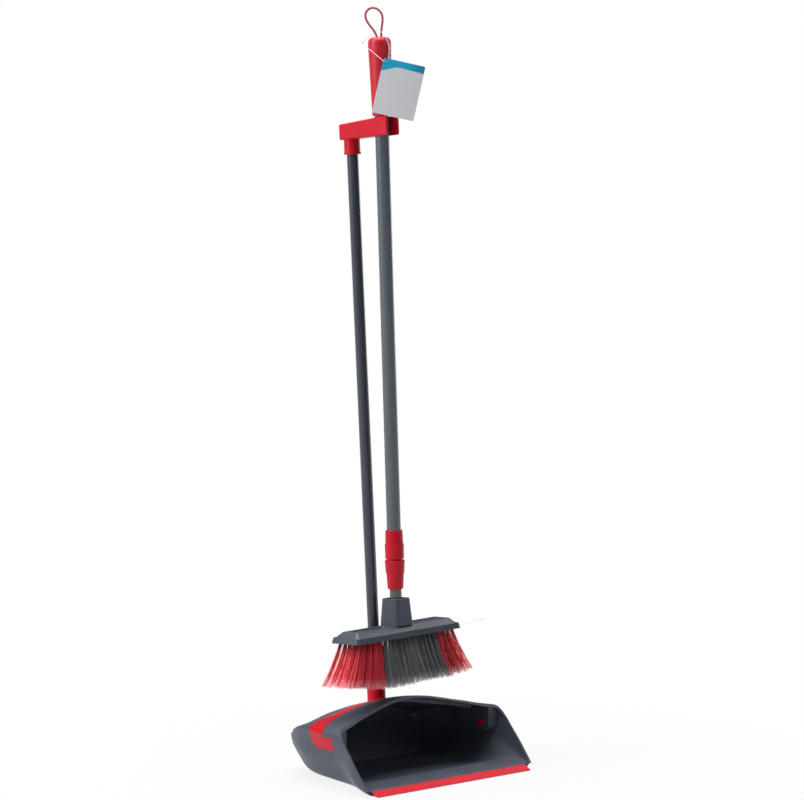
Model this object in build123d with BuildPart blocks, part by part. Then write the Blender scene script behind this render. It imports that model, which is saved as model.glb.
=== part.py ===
from build123d import *
import os
from math import radians, sqrt, tan

# An upright covered dustpan with a telescopic broom clipped to its handle. Millimetres, +Z up.
# The origin is on the floor under the pan. The mouth faces -Y, and depths are measured back from the lip.

# Clearances
fit_gap = 0.05
running_gap = 0.1
free_gap = 0.3

# Pan shell
origin_depth = 100.0
wall = 2.5
sole_trim = 0.05
lip_half_width = 121.0
body_depth = 193.5
floor_narrowing = 21.0
widest_half_width = 131.0
widest_depth = 60.0
rear_narrowing = 29.0
waist_height = 34.0
crown_height = 97.0
crown_drop = 36.0
shoulder_drop = 38.0
shoulder_run = 218.0
mouth_shoulder_radius = 16.0
rear_shoulder_radius = 5.0
bilge_radius = 14.0
rear_corner_radius = 18.0
rear_lean = 15.8
undercut_angle = 42.0
mouth_slant = 41.5

# Lip strip and the ramp behind it
lip_depth = 11.0
lip_height = 6.0
lip_edge = 0.8
tongue_start = 5.5
tongue_height = 1.6
tongue_thickness = 1.4
tongue_end = 3.0
ramp_length = 34.0
ramp_fall = 20.0
ramp_height = 8.5
ramp_pockets = 6
rib_thickness = 2.0

# Bail strap, its feet and pegs
strap_width = 27.0
strap_thickness = 3.5
strap_side_depth = 106.5
strap_middle_depth = 144.0
foot_front_depth = 75.0
foot_bottom = 43.0
foot_top = 62.5
foot_rear_cut = 6.0
foot_inner_half = 114.5
pocket_wall = 2.2
bump_front_depth = 67.0
bump_drop = 4.0
bump_radius = 8.0
peg_diameter = 12.0
peg_depth = 81.0
peg_height = 51.0
peg_reach = 2.0

# Handle tube
handle_lean = 3.92
handle_depth = 146.0
handle_base_height = 80.0
tube_diameter = 14.0
tube_wall = 0.9
tube_top = 697.0
socket_diameter = 22.5
socket_top = 14.6
socket_root = -8.0
socket_floor = -1.0
socket_edge_radius = 1.0

# Clip bracket, in distances from the handle tube's axis and its clip height
clip_height = 691.7
bracket_turn = 8.19
bracket_width = 23.2
bracket_back = 13.5
bracket_reach = 66.6
bracket_top = 9.2
bracket_bottom = -10.3
bracket_rise = 5.05
bracket_belly_rise = 1.7
bracket_back_radius = 7.0
bracket_edge_radius = 2.0
collar_diameter = 19.6
collar_flare = 0.6
collar_length = 18.0
collar_ring = 2.5
broom_reach = 49.75
broom_lean = 1.11

# Broom, in distances along its axis from the clip, up positive
broom_tube_diameter = 17.0
broom_tube_wall = 0.8
inner_diameter = 14.4
grip_length = 94.0
grip_top_diameter = 27.8
grip_bottom_diameter = 22.4
grip_shoulder = 12.0
grip_cap = 6.0
grip_top_radius = 6.5
grip_hollow = 8.0
lock_top = -483.2
lock_step = -500.1
lock_seam = -518.1
lock_lower_step = -535.3
lock_bottom = -554.7
lock_sleeve_diameter = 20.8
lock_ring_diameter = 23.2
nut_diameter = 24.4
nut_tail_diameter = 21.2
nut_end_diameter = 18.9
lock_taper = 1.0
neck_diameter = 19.2
neck_height = 1.2
collet_length = 24.0
collet_diameter = 17.4
collet_slots = 4
collet_slot_width = 1.2
inner_top = 50.0
bush_collar = 3.0
bush_stem = 12.0

# Broom head
head_bottom = -611.0
head_skirt = -604.5
head_crown = -598.0
head_socket_top = -565.7
head_half_length = 95.0
head_half_depth = 23.5
head_corner_radius = 7.0
head_socket_top_size = 26.0
head_socket_bottom_size = 30.5
head_corner_radius_top = 5.0
head_step = 2.0
head_crown_slope = 7.0
head_crown_edge = 3.0
head_recess_length = 54.0
head_recess_width = 11.0
head_recess_depth = 1.2
socket_corner_radius = 5.0
thread_diameter = 19.4
thread_length = 24.0
thread_seat = 3.0

# Bristles
bed_half_length = 89.0
bed_half_depth = 19.0
bed_recess = 3.0
bed_thickness = 3.0
tuft_columns = 20
tuft_rows = 5
tuft_margin = 4.0
tuft_spread = 1.3
strand_spacing = 2.8
tip_spread = 3.0
bristle_tip = -662.0
strand_root_width = 1.7
strand_tip_width = 2.1
left_columns = 7
middle_columns = 9
fan_centre = -46.0
fan_left = 0.65
fan_right = 0.2
fan_depth = 1.38

# Hanging loop and tag, placed from the middle of the grip's top, facing out at a turn to the pan
loop_diameter = 2.9
loop_foot = 2.2
knot_diameter = 10.0
tag_width = 50.8
tag_length = 66.3
tag_thickness = 0.5
tag_corner = 1.5
tag_across = 22.9
tag_drop = 62.2
tag_tilt = -12.6
tag_standoff = 24.0
tag_turn = 40.0
tag_hole = 4.0
tag_hole_inset = 3.6
tie_diameter = 0.7


def share(value, start, end):
    """How far a value has come from start to end, held between 0 and 1."""
    return min(max((value - start) / (end - start), 0.0), 1.0)


def at_depth(depth):
    """Y of a depth behind the lip."""
    return depth - origin_depth


# Pan shell

def floor_half_width(depth):
    return lip_half_width - floor_narrowing * share(depth, 0, body_depth) ** 1.15


def shoulder_half_width(depth):
    return widest_half_width - rear_narrowing * share(depth, widest_depth, body_depth) ** 2.2


def crown_at(depth):
    return crown_height - crown_drop * share(depth, 0, body_depth) ** 2.7


def pan_section(depth, inset):
    """Outline across the pan: floor, sides with a crease at the waist, shoulders and crowned roof."""
    floor_half = floor_half_width(depth) - inset
    shoulder_half = shoulder_half_width(depth) - inset
    waist_share = 0.5 + 0.45 * share(depth, 90, 160)
    waist_half = floor_half + (shoulder_half - floor_half) * waist_share
    top = crown_at(depth) - inset
    shoulder_height = top - shoulder_drop * (1 - depth / shoulder_run)
    bilge = 2 + (bilge_radius - 2) * share(depth, 0, 40)
    sharpening = share(depth, 50, 100)
    shoulder = mouth_shoulder_radius + (rear_shoulder_radius - mouth_shoulder_radius) * sharpening
    with BuildSketch(Plane(origin=(0, at_depth(depth), 0), x_dir=(1, 0, 0), z_dir=(0, -1, 0))) as section:
        with BuildLine():
            Line((-floor_half, inset - sole_trim), (floor_half, inset - sole_trim))
            right = Polyline(
                (floor_half, inset - sole_trim), (waist_half, waist_height), (shoulder_half, shoulder_height)
            )
            ThreePointArc(right @ 1, (0, top), (-shoulder_half, shoulder_height))
            mirror(right, about=Plane.YZ)
        make_face()
        fillet(section.vertices().group_by(Axis.Y)[0], max(bilge - inset, 0.8))
        fillet(section.vertices().group_by(Axis.Y)[-1], max(shoulder - inset, 0.8))
    return section.sketch.face()


def pan_form(inset):
    """The closed outer form of the pan, drawn in by an inset all round. Its sole is trimmed flat."""
    stations = [pan_section(depth, inset) for depth in (-6, 20, 50, 80, 110, 140, 170, 205)]
    high = 120.0
    rear = at_depth(body_depth)
    front = at_depth(-60)
    rear_half = shoulder_half_width(body_depth) + 0.4
    side_turn = widest_half_width + 10
    side_slope = (shoulder_half_width(body_depth - 25) - rear_half) / 25
    with BuildPart() as form:
        loft(stations)
        with BuildSketch(Plane.YZ):
            with BuildLine():
                Polyline(
                    (rear - waist_height * tan(radians(undercut_angle)), 0),
                    (rear, waist_height),
                    (rear - (high - waist_height) * tan(radians(rear_lean)), high),
                    (front, high),
                    (front, 0),
                    close=True,
                )
            make_face()
            if inset:
                offset(amount=-inset, kind=Kind.INTERSECTION)
        extrude(amount=2 * lip_half_width, both=True, mode=Mode.INTERSECT)
        with BuildSketch(Plane.XY.offset(-wall)) as plan:
            with BuildLine():
                Polyline(
                    (-side_turn, front),
                    (side_turn, front),
                    (side_turn, rear - (side_turn - rear_half) / side_slope),
                    (rear_half, rear),
                    (-rear_half, rear),
                    (-side_turn, rear - (side_turn - rear_half) / side_slope),
                    close=True,
                )
            make_face()
            fillet(plan.vertices().group_by(Axis.Y)[-1], rear_corner_radius)
            if inset:
                offset(amount=-inset, kind=Kind.INTERSECTION)
        extrude(amount=high + wall, mode=Mode.INTERSECT)
    return form.part


def strap_band(margin):
    """Upright prism over the strap's plan: one arc moved forward and one moved back."""
    half = strap_width / 2 + margin
    side = lip_half_width + 7
    reach = widest_half_width + 12
    sagitta = strap_middle_depth - strap_side_depth
    radius = (side ** 2 + sagitta ** 2) / (2 * sagitta)
    end_drop = radius - sqrt(radius ** 2 - reach ** 2)
    with BuildPart() as band:
        with BuildSketch(Plane.XY.offset(foot_top)):
            with BuildLine():
                front = ThreePointArc(
                    (-reach, at_depth(strap_middle_depth - end_drop - half)),
                    (0, at_depth(strap_middle_depth - half)),
                    (reach, at_depth(strap_middle_depth - end_drop - half)),
                )
                rear = ThreePointArc(
                    (-reach, at_depth(strap_middle_depth - end_drop + half)),
                    (0, at_depth(strap_middle_depth + half)),
                    (reach, at_depth(strap_middle_depth - end_drop + half)),
                )
                Line(front @ 0, rear @ 0)
                Line(front @ 1, rear @ 1)
            make_face()
        extrude(amount=60)
    return band.part


def foot_block(margin, inner_half):
    """Both L-shaped feet as prisms along X, from an inner face outward."""
    rear_depth = strap_side_depth + strap_width / 2
    front_depth = strap_side_depth - strap_width / 2
    with BuildPart() as feet:
        with BuildSketch(Plane.YZ.offset(inner_half)) as outline:
            with BuildLine():
                Polyline(
                    (at_depth(foot_front_depth), foot_top),
                    (at_depth(foot_front_depth), foot_bottom),
                    (at_depth(rear_depth - 1.5 * foot_rear_cut), foot_bottom),
                    (at_depth(rear_depth - foot_rear_cut / 2), foot_bottom + foot_rear_cut),
                    (at_depth(rear_depth), foot_top),
                    (at_depth(rear_depth), foot_top + foot_rear_cut),
                    (at_depth(front_depth), foot_top + foot_rear_cut),
                    (at_depth(front_depth), foot_top),
                    close=True,
                )
            make_face()
            fillet(outline.vertices().group_by(Axis.Y)[0], 2)
            if margin:
                offset(amount=margin, kind=Kind.INTERSECTION)
        extrude(amount=40)
        mirror(about=Plane.YZ)
    return feet.part


def across_prism(points, half_width):
    """A prism across the pan from an outline of depths and heights."""
    with BuildPart() as prism:
        with BuildSketch(Plane.YZ):
            with BuildLine():
                Polyline(*[(at_depth(depth), height) for depth, height in points], close=True)
            make_face()
        extrude(amount=half_width, both=True)
    return prism.part


ramp_end = lip_depth + ramp_length
outer_form = pan_form(0)
under_strap = pan_form(strap_thickness)
groove_floor = pan_form(strap_thickness + fit_gap)
step_form = pan_form(strap_thickness + fit_gap + wall)
pocket = foot_block(free_gap, foot_inner_half - fit_gap)

ramp = across_prism(
    [(0, 0), (lip_depth, lip_height), (ramp_end, ramp_height), (ramp_end + ramp_fall, wall), (ramp_end + ramp_fall, 0)],
    widest_half_width,
)
lip_prism = across_prism([(-9, -1), (-9, 0), (0, lip_edge), (lip_depth, lip_height), (lip_depth, -1)], 200)
mouth_prism = across_prism([(-40, -1), (0, 0), (120 * tan(radians(mouth_slant)), 120), (-40, 120)], 200)

with BuildPart() as cavity:
    add(pan_form(wall))
    add(strap_band(wall + free_gap), mode=Mode.SUBTRACT)
    add(step_form)
    with BuildSketch(Plane.YZ.offset(foot_inner_half - fit_gap - pocket_wall)) as bump:
        with BuildLine():
            Polyline(
                (at_depth(bump_front_depth), 90),
                (at_depth(bump_front_depth), foot_bottom - bump_drop),
                (at_depth(strap_side_depth + strap_width / 2 + wall), foot_bottom - bump_drop),
                (at_depth(strap_side_depth + strap_width / 2 + wall + 4), 90),
                close=True,
            )
        make_face()
        fillet(bump.vertices().group_by(Axis.Y)[0], bump_radius)
    bump_blocks = extrude(amount=40, mode=Mode.PRIVATE)
    add(bump_blocks, mode=Mode.SUBTRACT)
    add(bump_blocks.mirror(Plane.YZ), mode=Mode.SUBTRACT)
    add(ramp, mode=Mode.SUBTRACT)

with BuildPart() as groove:
    add(strap_band(free_gap))
    add(groove_floor, mode=Mode.SUBTRACT)

with BuildPart() as pan_body:
    add(outer_form)
    add(cavity.part, mode=Mode.SUBTRACT)
    add(groove.part, mode=Mode.SUBTRACT)
    add(pocket, mode=Mode.SUBTRACT)
    add(mouth_prism, mode=Mode.SUBTRACT)
    add(lip_prism, mode=Mode.SUBTRACT)
    # The tongue that the lip strip is pushed on
    with BuildSketch(Plane.YZ):
        with Locations((at_depth(tongue_start), tongue_height)):
            Rectangle(lip_depth - tongue_start, tongue_thickness, align=(Align.MIN, Align.CENTER))
    extrude(amount=lip_half_width - tongue_end, both=True)
    # The hollow underside of the ramp, between ribs
    pocket_pitch = 2 * (floor_half_width(ramp_end) - 10) / ramp_pockets
    with BuildSketch(Plane.YZ) as under_ramp:
        with BuildLine():
            Polyline(
                (at_depth(lip_depth + wall), -1),
                (at_depth(lip_depth + wall), lip_height - wall),
                (at_depth(ramp_end), ramp_height - wall),
                (at_depth(ramp_end + ramp_fall - 2 * wall), 0.8),
                (at_depth(ramp_end + ramp_fall - 2 * wall), -1),
                close=True,
            )
        make_face()
    hollow = extrude(amount=(pocket_pitch - rib_thickness) / 2, both=True, mode=Mode.PRIVATE)
    with Locations(*[((i - (ramp_pockets - 1) / 2) * pocket_pitch, 0, 0) for i in range(ramp_pockets)]):
        add(hollow, mode=Mode.SUBTRACT)
    # Holes for the snap pegs
    with BuildSketch(Plane.YZ.offset(-foot_inner_half)):
        with Locations((at_depth(peg_depth), peg_height)):
            Circle(peg_diameter / 2 + fit_gap)
    extrude(amount=2 * foot_inner_half, mode=Mode.SUBTRACT)

pan_body.part.label = "pan_body"

# Lip strip: a soft wedge with a slot for the tongue
with BuildPart() as pan_lip:
    with BuildSketch(Plane.YZ):
        with BuildLine():
            Polyline(
                (at_depth(0), 0),
                (at_depth(0), lip_edge),
                (at_depth(lip_depth), lip_height),
                (at_depth(lip_depth), 0),
                close=True,
            )
        make_face()
    extrude(amount=widest_half_width, both=True)
    add(outer_form, mode=Mode.INTERSECT)
    with BuildSketch(Plane.YZ):
        with Locations((at_depth(tongue_start - fit_gap), tongue_height)):
            Rectangle(lip_depth, tongue_thickness + 2 * fit_gap, align=(Align.MIN, Align.CENTER))
    extrude(amount=lip_half_width - tongue_end + fit_gap, both=True, mode=Mode.SUBTRACT)
pan_lip.part.label = "pan_lip"

# Handle, clip and broom planes. The broom hangs in front of the handle and leans its top forward.
handle_up = Vector(0, 0, 1).rotate(Axis.X, -handle_lean)
handle_plane = Plane(origin=(0, at_depth(handle_depth), handle_base_height), x_dir=(1, 0, 0), z_dir=handle_up)
across_dir = Vector(1, 0, 0).rotate(Axis((0, 0, 0), handle_up), bracket_turn)
clip_plane = Plane(origin=handle_plane.from_local_coords((0, 0, clip_height)), x_dir=across_dir, z_dir=handle_up)
forward = -clip_plane.y_dir
bracket_side = Plane(origin=clip_plane.origin, x_dir=forward, z_dir=-across_dir)
broom_up = handle_up.rotate(Axis((0, 0, 0), across_dir), broom_lean)
broom_plane = Plane(origin=clip_plane.origin + forward * broom_reach, x_dir=across_dir, z_dir=broom_up)
broom_axis = Axis(broom_plane.origin, broom_up)
broom_profile = Plane(origin=broom_plane.origin, x_dir=across_dir, z_dir=-broom_plane.y_dir)

# Bail: strap, handle socket, L-shaped feet and snap pegs
with BuildPart() as foot_pair:
    add(foot_block(0, foot_inner_half))
    add(outer_form, mode=Mode.INTERSECT)
    for side in (1, -1):
        with BuildSketch(Plane.YZ.offset(side * (foot_inner_half - pocket_wall - peg_reach))):
            with Locations((at_depth(peg_depth), peg_height)):
                Circle(peg_diameter / 2)
        extrude(amount=side * (pocket_wall + peg_reach + 1))

with BuildPart() as bail:
    add(strap_band(0))
    add(outer_form, mode=Mode.INTERSECT)
    with BuildSketch(handle_plane.offset(socket_root)):
        Circle(socket_diameter / 2)
    extrude(amount=socket_top - socket_root)
    add(under_strap, mode=Mode.SUBTRACT)
    with BuildSketch(handle_plane.offset(socket_floor)):
        Circle(tube_diameter / 2 + fit_gap)
    extrude(amount=2 * socket_top, mode=Mode.SUBTRACT)
    socket_mouth = bail.edges().filter_by(GeomType.CIRCLE).filter_by(
        lambda edge: abs(handle_plane.to_local_coords(edge.center()).Z - socket_top) < 0.01
    )
    fillet(socket_mouth.sort_by(SortBy.RADIUS)[-1], socket_edge_radius)
    add(foot_pair.part)
bail.part.label = "bail"


def tube(plane, start, end, diameter, thickness):
    """A plain round tube along a plane's normal."""
    with BuildPart() as piece:
        with BuildSketch(plane.offset(start)):
            Circle(diameter / 2)
            Circle(diameter / 2 - thickness, mode=Mode.SUBTRACT)
        extrude(amount=end - start)
    return piece.part


# Handle tube, standing in the bail's socket
with BuildPart() as pan_tube:
    add(tube(handle_plane, socket_floor, tube_top, tube_diameter, tube_wall))
pan_tube.part.label = "pan_tube"

# Clip bracket: an arm with a collar on the handle tube and a fork round the broom
rise = tan(radians(bracket_rise))
belly_rise = tan(radians(bracket_belly_rise))
with BuildPart() as clip_bracket:
    with BuildSketch(bracket_side):
        with BuildLine():
            Polyline(
                (-bracket_back, bracket_bottom - bracket_back * belly_rise),
                (bracket_reach, bracket_bottom + bracket_reach * belly_rise),
                (bracket_reach, bracket_top + bracket_reach * rise),
                (-bracket_back, bracket_top - bracket_back * rise),
                close=True,
            )
        make_face()
    extrude(amount=bracket_width / 2, both=True)
    uprights = clip_bracket.edges().filter_by(lambda edge: abs(edge.tangent_at(0).dot(handle_up)) > 0.99)
    fillet(uprights.sort_by(lambda edge: (edge.center() - clip_plane.origin).dot(forward))[:2], bracket_back_radius)
    rims = clip_bracket.faces().filter_by(lambda face: abs(face.normal_at().dot(handle_up)) > 0.9).edges()
    fillet(rims, bracket_edge_radius)
    # Collar round the handle tube
    collar_bottom = bracket_bottom - collar_length
    with BuildSketch(clip_plane.offset(collar_bottom)):
        Circle(collar_diameter / 2 + collar_flare)
    extrude(amount=collar_ring)
    with BuildSketch(clip_plane.offset(collar_bottom)):
        Circle(collar_diameter / 2)
    extrude(amount=collar_length + 1)
    with BuildSketch(clip_plane.offset(collar_bottom)):
        Circle(tube_diameter / 2 + fit_gap)
    extrude(amount=tube_top - clip_height - collar_bottom, mode=Mode.SUBTRACT)
    # Fork, parallel to the broom
    with BuildSketch(broom_plane.offset(2 * bracket_bottom)):
        Circle(broom_tube_diameter / 2 + free_gap)
        with Locations((0, -broom_reach / 2)):
            Rectangle(broom_tube_diameter + 2 * free_gap, broom_reach)
    extrude(amount=-5 * bracket_bottom, mode=Mode.SUBTRACT)
clip_bracket.part.label = "clip_bracket"


def turned(points, radii=()):
    """A round solid on the broom's axis from radii and distances along it, with some corners rounded."""
    with BuildPart() as piece:
        with BuildSketch(broom_profile) as outline:
            with BuildLine():
                Polyline(*points, close=True)
            make_face()
            for index, radius in radii:
                corner = Vector(*points[index], 0)
                fillet(outline.vertices().sort_by_distance(corner)[0], radius)
        revolve(axis=broom_axis)
    return piece.part


broom_tube_bore = broom_tube_diameter / 2 - broom_tube_wall
inner_radius = inner_diameter / 2

# The grip stops just above the bracket's sloping top
grip_foot_rise = grip_bottom_diameter / 2 * tan(radians(bracket_rise + broom_lean))
grip_bottom = bracket_top + broom_reach * rise + grip_foot_rise + free_gap
grip_top = grip_bottom + grip_length
grip_seat = grip_top - grip_cap - grip_hollow
grip_plane = broom_plane.offset(grip_top)

# Outward plane that the loop and the tag face
outward = Vector(0, -1, 0).rotate(Axis.Z, -tag_turn)
sideways = Vector(1, 0, 0).rotate(Axis.Z, -tag_turn)
loop_across = (sideways - broom_up * sideways.dot(broom_up)).normalized()
loop_plane = Plane(origin=grip_plane.origin, x_dir=loop_across, z_dir=loop_across.cross(broom_up))
tag_middle = grip_plane.origin + sideways * tag_across + outward * tag_standoff - Vector(0, 0, tag_drop)
tag_across_dir = sideways.rotate(Axis((0, 0, 0), outward), tag_tilt)
tag_plane = Plane(origin=tag_middle, x_dir=tag_across_dir, z_dir=outward)

# Outer tube, from the lock sleeve up into the grip
with BuildPart() as outer_tube:
    add(tube(broom_plane, lock_seam + 2, grip_seat, broom_tube_diameter, broom_tube_wall))
outer_tube.part.label = "outer_tube"

# Hand grip: a tapering cap with a slot for the loop's cord
with BuildPart() as grip:
    add(
        turned(
            [
                (0, grip_bottom),
                (grip_bottom_diameter / 2, grip_bottom),
                (grip_top_diameter / 2, grip_top - grip_shoulder),
                (grip_top_diameter / 2, grip_top),
                (0, grip_top),
            ],
            [(3, grip_top_radius), (2, 40), (1, 0.8)],
        )
    )
    with BuildSketch(broom_plane.offset(grip_bottom)):
        Circle(broom_tube_diameter / 2 + fit_gap)
    extrude(amount=grip_seat - grip_bottom, mode=Mode.SUBTRACT)
    with BuildSketch(broom_plane.offset(grip_seat)):
        Circle(broom_tube_bore)
    extrude(amount=grip_hollow, mode=Mode.SUBTRACT)
    with BuildSketch(Plane(origin=grip_plane.origin, x_dir=loop_across, z_dir=broom_up)):
        SlotOverall(2 * loop_foot + loop_diameter + 2 * free_gap, loop_diameter + 2 * free_gap)
    extrude(amount=-grip_cap, mode=Mode.SUBTRACT)
grip.part.label = "grip"

# Knot that holds the cord under the grip's cap
with BuildPart() as loop_knot:
    add(
        turned(
            [
                (0, grip_seat + free_gap),
                (knot_diameter / 2, grip_seat + free_gap),
                (knot_diameter / 2, grip_top - grip_cap - free_gap),
                (0, grip_top - grip_cap - free_gap),
            ],
            [(1, 2.5), (2, 1.5)],
        )
    )
loop_knot.part.label = "loop_knot"

# Hanging loop: both ends go down through the slot to the knot
loop_end = -grip_cap - free_gap
loop_points = [
    (-loop_foot, loop_end),
    (-loop_foot, 3.0),
    (-14.6, 18.5),
    (-16.8, 28.0),
    (-11.2, 35.4),
    (-2.2, 35.0),
    (4.2, 27.8),
    (4.6, 19.0),
    (loop_foot, 8.0),
    (loop_foot, loop_end),
]


def route_radii(points):
    """The largest tangent arc at each inner point that its two runs leave room for."""
    radii = []
    for before, here, after in zip(points, points[1:], points[2:]):
        into = Vector(*here) - Vector(*before)
        out = Vector(*after) - Vector(*here)
        half_turn = radians(into.get_angle(out)) / 2
        radii.append(0.45 * min(into.length, out.length) / tan(half_turn))
    return radii


loop_radii = route_radii(loop_points)
with BuildPart() as hanging_loop:
    with BuildLine(loop_plane) as route:
        FilletPolyline(*loop_points, radius=loop_radii)
    with BuildSketch(Plane(origin=route.wires()[0] @ 0, z_dir=route.wires()[0] % 0)):
        Circle(loop_diameter / 2)
    sweep()
hanging_loop.part.label = "hanging_loop"

# Twist lock, upper half: sleeve on the outer tube, waist ring, neck and slotted collet
sleeve = lock_sleeve_diameter / 2
ring = lock_ring_diameter / 2
neck_bottom = lock_seam - neck_height
with BuildPart() as lock_sleeve:
    add(
        turned(
            [
                (0, lock_top),
                (sleeve, lock_top),
                (sleeve + lock_taper / 2, lock_step),
                (ring, lock_step),
                (ring - lock_taper / 4, lock_seam),
                (neck_diameter / 2, lock_seam),
                (neck_diameter / 2, neck_bottom),
                (collet_diameter / 2, neck_bottom),
                (collet_diameter / 2, neck_bottom - collet_length),
                (0, neck_bottom - collet_length),
            ],
            [(1, 0.8), (4, 1.2), (8, 0.5)],
        )
    )
    with BuildSketch(broom_plane.offset(lock_seam + 2)):
        Circle(broom_tube_diameter / 2 + fit_gap)
    extrude(amount=lock_top - lock_seam, mode=Mode.SUBTRACT)
    with BuildSketch(broom_plane.offset(lock_top)):
        Circle(inner_radius + running_gap)
    extrude(amount=-(lock_top - neck_bottom + collet_length), mode=Mode.SUBTRACT)
    with BuildSketch(broom_plane.offset(neck_bottom - collet_length)):
        with PolarLocations(collet_diameter / 2, collet_slots):
            Rectangle(collet_diameter / 2, collet_slot_width)
    extrude(amount=collet_length - 4, mode=Mode.SUBTRACT)
lock_sleeve.part.label = "lock_sleeve"

# Twist lock, lower half: a nut over the collet
nut_top = neck_bottom - free_gap
nut_half = nut_diameter / 2
collet_end = neck_bottom - collet_length - free_gap
with BuildPart() as lock_nut:
    add(
        turned(
            [
                (0, nut_top),
                (nut_half, nut_top),
                (nut_half - lock_taper, lock_lower_step),
                (nut_tail_diameter / 2, lock_lower_step),
                (nut_end_diameter / 2, lock_bottom),
                (0, lock_bottom),
            ],
            [(1, 0.8), (4, 1.5)],
        )
    )
    with BuildSketch(broom_plane.offset(collet_end)):
        Circle(collet_diameter / 2 + running_gap)
    extrude(amount=nut_top - collet_end, mode=Mode.SUBTRACT)
    with BuildSketch(broom_plane.offset(lock_bottom)):
        Circle(inner_radius + free_gap)
    extrude(amount=collet_end - lock_bottom, mode=Mode.SUBTRACT)
lock_nut.part.label = "lock_nut"

# Inner tube, its guide bush inside the outer tube, and its threaded end
thread_top = head_socket_top - thread_seat
thread_bottom = thread_top - thread_length
with BuildPart() as inner_tube:
    add(tube(broom_plane, thread_bottom + wall, inner_top, inner_diameter, broom_tube_wall))
inner_tube.part.label = "inner_tube"

with BuildPart() as inner_bush:
    add(
        turned(
            [
                (0, inner_top + bush_collar),
                (broom_tube_bore - fit_gap, inner_top + bush_collar),
                (broom_tube_bore - fit_gap, inner_top),
                (inner_radius - broom_tube_wall - fit_gap, inner_top),
                (inner_radius - broom_tube_wall - fit_gap, inner_top - bush_stem),
                (0, inner_top - bush_stem),
            ],
            [(1, 0.6)],
        )
    )
inner_bush.part.label = "inner_bush"

with BuildPart() as thread_plug:
    with BuildSketch(broom_plane.offset(thread_bottom)):
        Circle(thread_diameter / 2)
    extrude(amount=thread_length)
    with BuildSketch(broom_plane.offset(thread_bottom + wall)):
        Circle(inner_radius + fit_gap)
    extrude(amount=thread_length, mode=Mode.SUBTRACT)
thread_plug.part.label = "thread_plug"


def head_outline(height, half_length, half_depth, radius):
    """Rounded outline across the broom's axis."""
    with BuildSketch(broom_plane.offset(height)) as outline:
        RectangleRounded(2 * half_length, 2 * half_depth, radius)
    return outline.sketch.face()


# Broom head: flared skirt, step, crown with two long recesses, tapered square socket
skirt_top_length = head_half_length - head_step
skirt_top_depth = head_half_depth - head_step
crown_length = skirt_top_length - head_step
crown_depth = skirt_top_depth - head_step
bed_ceiling = head_bottom + bed_recess + bed_thickness
with BuildPart() as broom_head:
    loft(
        [
            head_outline(head_bottom, head_half_length, head_half_depth, head_corner_radius),
            head_outline(head_skirt, skirt_top_length, skirt_top_depth, head_corner_radius_top),
        ]
    )
    loft(
        [
            head_outline(head_skirt, crown_length, crown_depth, head_corner_radius_top),
            head_outline(head_crown, crown_length - head_crown_slope, crown_depth - head_crown_slope, 3),
        ]
    )
    fillet(broom_head.faces().sort_by(broom_axis)[-1].edges(), head_crown_edge)
    loft(
        [
            head_outline(head_crown, head_socket_bottom_size / 2, head_socket_bottom_size / 2, socket_corner_radius),
            head_outline(head_socket_top, head_socket_top_size / 2, head_socket_top_size / 2, socket_corner_radius),
        ]
    )
    fillet(broom_head.faces().sort_by(broom_axis)[-1].edges(), socket_edge_radius)
    # Recess for the bristle bed
    with BuildSketch(broom_plane.offset(head_bottom)):
        Rectangle(2 * bed_half_length + 2 * fit_gap, 2 * bed_half_depth + 2 * fit_gap)
    extrude(amount=bed_recess + bed_thickness, mode=Mode.SUBTRACT)
    # Socket bore
    with BuildSketch(broom_plane.offset(head_socket_top)):
        Circle(thread_diameter / 2 + fit_gap)
    extrude(amount=-(thread_seat + thread_length), mode=Mode.SUBTRACT)
    # Long recesses in the crown
    recess_middle = (head_socket_bottom_size / 2 + crown_length - head_crown_slope) / 2
    with BuildSketch(broom_plane.offset(head_crown)):
        with Locations((recess_middle, 0), (-recess_middle, 0)):
            RectangleRounded(head_recess_length, head_recess_width, head_recess_width / 2 - 0.5)
    extrude(amount=-head_recess_depth, taper=30, mode=Mode.SUBTRACT)
broom_head.part.label = "broom_head"

# Bristles: strands in tufts, fanned out from the bed, each field fused to its slice of the bed
tuft_pitch = (2 * bed_half_length - tuft_margin) / tuft_columns
row_pitch = (2 * bed_half_depth - tuft_margin / 2) / tuft_rows


def fan(across):
    """How far a strand's tip lies outside its root."""
    return (across - fan_centre) * (fan_right if across > fan_centre else fan_left)


def strand(across, back, lean_across, lean_back, tip):
    """One four-sided strand from the bed to its tip."""
    with BuildSketch(broom_plane.offset(head_bottom + bed_recess)) as root:
        with Locations((across, back)):
            Rectangle(strand_root_width, strand_root_width)
    with BuildSketch(broom_plane.offset(tip)) as end:
        with Locations((across + lean_across, back + lean_back)):
            Rectangle(strand_tip_width, strand_tip_width)
    return loft([root.sketch.face(), end.sketch.face()], ruled=True, mode=Mode.PRIVATE).solid()


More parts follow.
